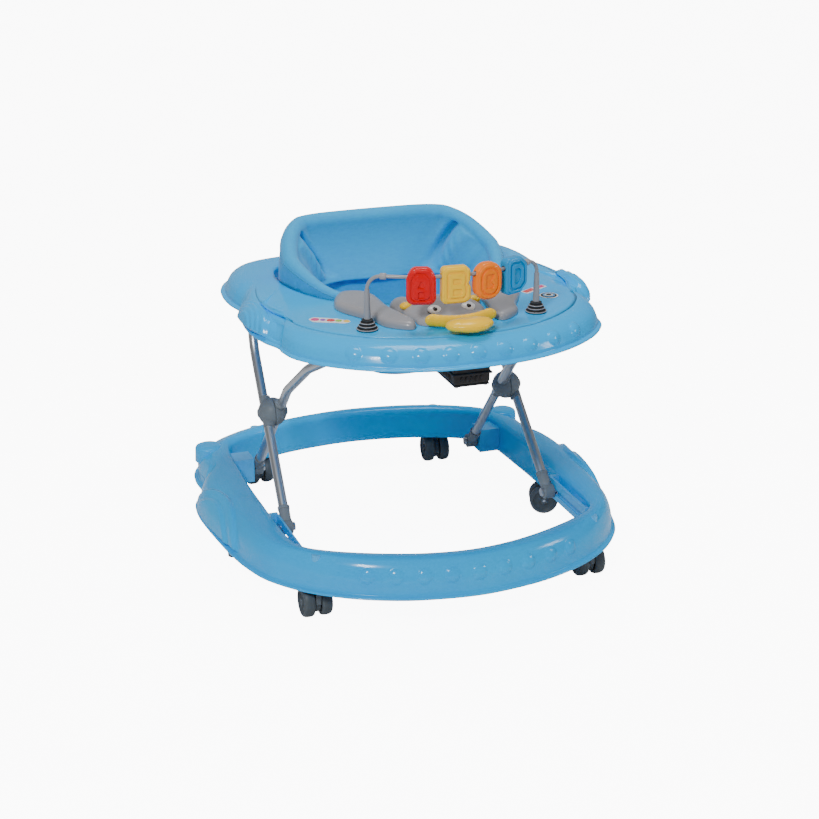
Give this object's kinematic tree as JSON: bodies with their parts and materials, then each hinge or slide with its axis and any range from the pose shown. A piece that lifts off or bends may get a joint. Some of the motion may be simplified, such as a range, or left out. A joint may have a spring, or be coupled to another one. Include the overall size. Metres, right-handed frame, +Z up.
{
  "type": "baby walker",
  "caption": "Folding baby walker: moulded ring on swivelling casters, scissor tube frame, moulded tray with padded fabric seat, toy bar with spinning letter blocks and an animal-head toy.",
  "frame": {"origin": "on the floor, under the middle of the walker's footprint", "axes": "+Y to the back of the walker (the seat's backrest side), +X to the sitter's left hand side as seen from the front, +Z up"},
  "size_m": [0.6406, 0.712, 0.5225],
  "materials": {
    "blue_plastic": "glossy moulded polypropylene",
    "wheel_plastic": "dark grey moulded nylon",
    "bright_steel": "zinc-plated steel",
    "frame_steel": "silver powder-coated steel tube",
    "hub_plastic": "mid-grey moulded nylon",
    "seat_fabric": "padded woven polyester",
    "white_plastic": "white moulded plastic",
    "toy_grey": "satin grey moulded plastic",
    "black_rubber": "black moulded rubber",
    "toy_red": "glossy red plastic",
    "toy_yellow": "glossy yellow plastic",
    "toy_orange": "glossy orange plastic",
    "toy_blue": "glossy blue plastic",
    "black_plastic": "black moulded plastic",
    "battery_jacket": "printed battery jacket",
    "circuit_green": "solder-masked board"
  },
  "bodies": {
    "base": {"base_shell": "blue_plastic", "caster_sockets": "blue_plastic", "slide_rails": "blue_plastic", "rear_brackets": "blue_plastic", "rear_pivot_pins": "bright_steel"},
    "front_left_caster": {"front_left_housing": "wheel_plastic"},
    "front_left_wheelset": {"front_left_axle": "bright_steel", "front_left_wheels": "wheel_plastic"},
    "front_right_caster": {"front_right_housing": "wheel_plastic"},
    "front_right_wheelset": {"front_right_axle": "bright_steel", "front_right_wheels": "wheel_plastic"},
    "side_left_caster": {"side_left_housing": "wheel_plastic"},
    "side_left_wheelset": {"side_left_axle": "bright_steel", "side_left_wheels": "wheel_plastic"},
    "side_right_caster": {"side_right_housing": "wheel_plastic"},
    "side_right_wheelset": {"side_right_axle": "bright_steel", "side_right_wheels": "wheel_plastic"},
    "rear_left_caster": {"rear_left_housing": "wheel_plastic"},
    "rear_left_wheelset": {"rear_left_axle": "bright_steel", "rear_left_wheels": "wheel_plastic"},
    "rear_right_caster": {"rear_right_housing": "wheel_plastic"},
    "rear_right_wheelset": {"rear_right_axle": "bright_steel", "rear_right_wheels": "wheel_plastic"},
    "inner_frame": {"inner_frame_tube": "frame_steel", "inner_hub_halves": "hub_plastic", "inner_foot_caps": "hub_plastic"},
    "outer_frame": {"outer_tube_left": "frame_steel", "outer_tube_right": "frame_steel", "outer_hub_halves": "hub_plastic", "outer_foot_caps": "hub_plastic", "hub_rivets": "bright_steel", "slide_bolts": "bright_steel"},
    "tray": {"tray_shell": "blue_plastic", "tray_hangers": "blue_plastic", "hanger_pins": "bright_steel", "bar_saddles": "blue_plastic", "seat_back": "seat_fabric", "seat_sling": "seat_fabric", "seat_hooks": "white_plastic", "toy_bar": "toy_grey", "bar_boots": "black_rubber", "bar_collars": "toy_grey", "toy_head": "toy_grey", "toy_wing_left": "toy_grey", "toy_wing_right": "toy_grey", "toy_eyes": "white_plastic", "beak_base": "toy_yellow", "music_case": "black_plastic", "battery_door": "black_plastic", "batteries": "battery_jacket", "speaker": "black_plastic", "circuit_board": "circuit_green", "case_screws": "bright_steel"},
    "letter_a_block": {"letter_a": "toy_red"},
    "letter_b_block": {"letter_b": "toy_yellow"},
    "letter_c_block": {"letter_c": "toy_orange"},
    "letter_d_block": {"letter_d": "toy_blue"},
    "beak_pad": {"beak_button": "toy_yellow"}
  },
  "joints": [
    {"name": "front_left_swivel", "type": "hinge", "parent": "base", "child": "front_left_caster", "pos_m": [-0.219, -0.252, 0.07], "axis": [0, 0, 1], "continuous": true},
    {"name": "front_left_spin", "type": "hinge", "parent": "front_left_caster", "child": "front_left_wheelset", "pos_m": [-0.219, -0.24, 0.0235], "axis": [-1, 0, 0], "continuous": true},
    {"name": "front_right_swivel", "type": "hinge", "parent": "base", "child": "front_right_caster", "pos_m": [0.219, -0.252, 0.07], "axis": [0, 0, 1], "continuous": true},
    {"name": "front_right_spin", "type": "hinge", "parent": "front_right_caster", "child": "front_right_wheelset", "pos_m": [0.219, -0.24, 0.0235], "axis": [-1, 0, 0], "continuous": true},
    {"name": "side_left_swivel", "type": "hinge", "parent": "base", "child": "side_left_caster", "pos_m": [-0.265, 0.012, 0.07], "axis": [0, 0, 1], "continuous": true},
    {"name": "side_left_spin", "type": "hinge", "parent": "side_left_caster", "child": "side_left_wheelset", "pos_m": [-0.26749, 0.00026, 0.0235], "axis": [0.9781, -0.2079, 0], "continuous": true},
    {"name": "side_right_swivel", "type": "hinge", "parent": "base", "child": "side_right_caster", "pos_m": [0.265, 0.012, 0.07], "axis": [0, 0, 1], "continuous": true},
    {"name": "side_right_spin", "type": "hinge", "parent": "side_right_caster", "child": "side_right_wheelset", "pos_m": [0.25365, 0.01591, 0.0235], "axis": [-0.3256, -0.9455, 0], "continuous": true},
    {"name": "rear_left_swivel", "type": "hinge", "parent": "base", "child": "rear_left_caster", "pos_m": [-0.162, 0.301, 0.07], "axis": [0, 0, 1], "continuous": true},
    {"name": "rear_left_spin", "type": "hinge", "parent": "rear_left_caster", "child": "rear_left_wheelset", "pos_m": [-0.16075, 0.28907, 0.0235], "axis": [0.9945, 0.1045, 0], "continuous": true},
    {"name": "rear_right_swivel", "type": "hinge", "parent": "base", "child": "rear_right_caster", "pos_m": [0.162, 0.301, 0.07], "axis": [0, 0, 1], "continuous": true},
    {"name": "rear_right_spin", "type": "hinge", "parent": "rear_right_caster", "child": "rear_right_wheelset", "pos_m": [0.16116, 0.28903, 0.0235], "axis": [0.9976, -0.0698, 0], "continuous": true},
    {"name": "fold", "type": "hinge", "parent": "base", "child": "inner_frame", "pos_m": [0, 0.186, 0.07], "axis": [1, 0, 0], "range_deg": [0, 31]},
    {"name": "frame_cross", "type": "hinge", "parent": "inner_frame", "child": "outer_frame", "pos_m": [0, 0.051, 0.216], "axis": [1, 0, 0], "range_deg": [-62, 0]},
    {"name": "tray_level", "type": "hinge", "parent": "outer_frame", "child": "tray", "pos_m": [0, 0.146, 0.383], "axis": [1, 0, 0], "range_deg": [0, 31]},
    {"name": "letter_a_spin", "type": "hinge", "parent": "tray", "child": "letter_a_block", "pos_m": [-0.06028, -0.2571, 0.508], "axis": [0.9558, -0.294, 0], "continuous": true},
    {"name": "letter_b_spin", "type": "hinge", "parent": "tray", "child": "letter_b_block", "pos_m": [-0.0118, -0.26582, 0.508], "axis": [0.9983, -0.0576, 0], "continuous": true},
    {"name": "letter_c_spin", "type": "hinge", "parent": "tray", "child": "letter_c_block", "pos_m": [0.03736, -0.26273, 0.508], "axis": [0.9833, 0.1822, 0], "continuous": true},
    {"name": "letter_d_spin", "type": "hinge", "parent": "tray", "child": "letter_d_block", "pos_m": [0.08436, -0.248, 0.508], "axis": [0.9114, 0.4115, 0], "continuous": true},
    {"name": "beak_press", "type": "slide", "parent": "tray", "child": "beak_pad", "axis": [0, 0, -1], "range_m": [0, 0.003], "stiffness_N_per_m": 300, "springref_m": -0.001}
  ],
  "couplings": [
    {"joint": "frame_cross", "follows": "fold", "ratio": -2},
    {"joint": "tray_level", "follows": "fold", "ratio": 1}
  ]
}
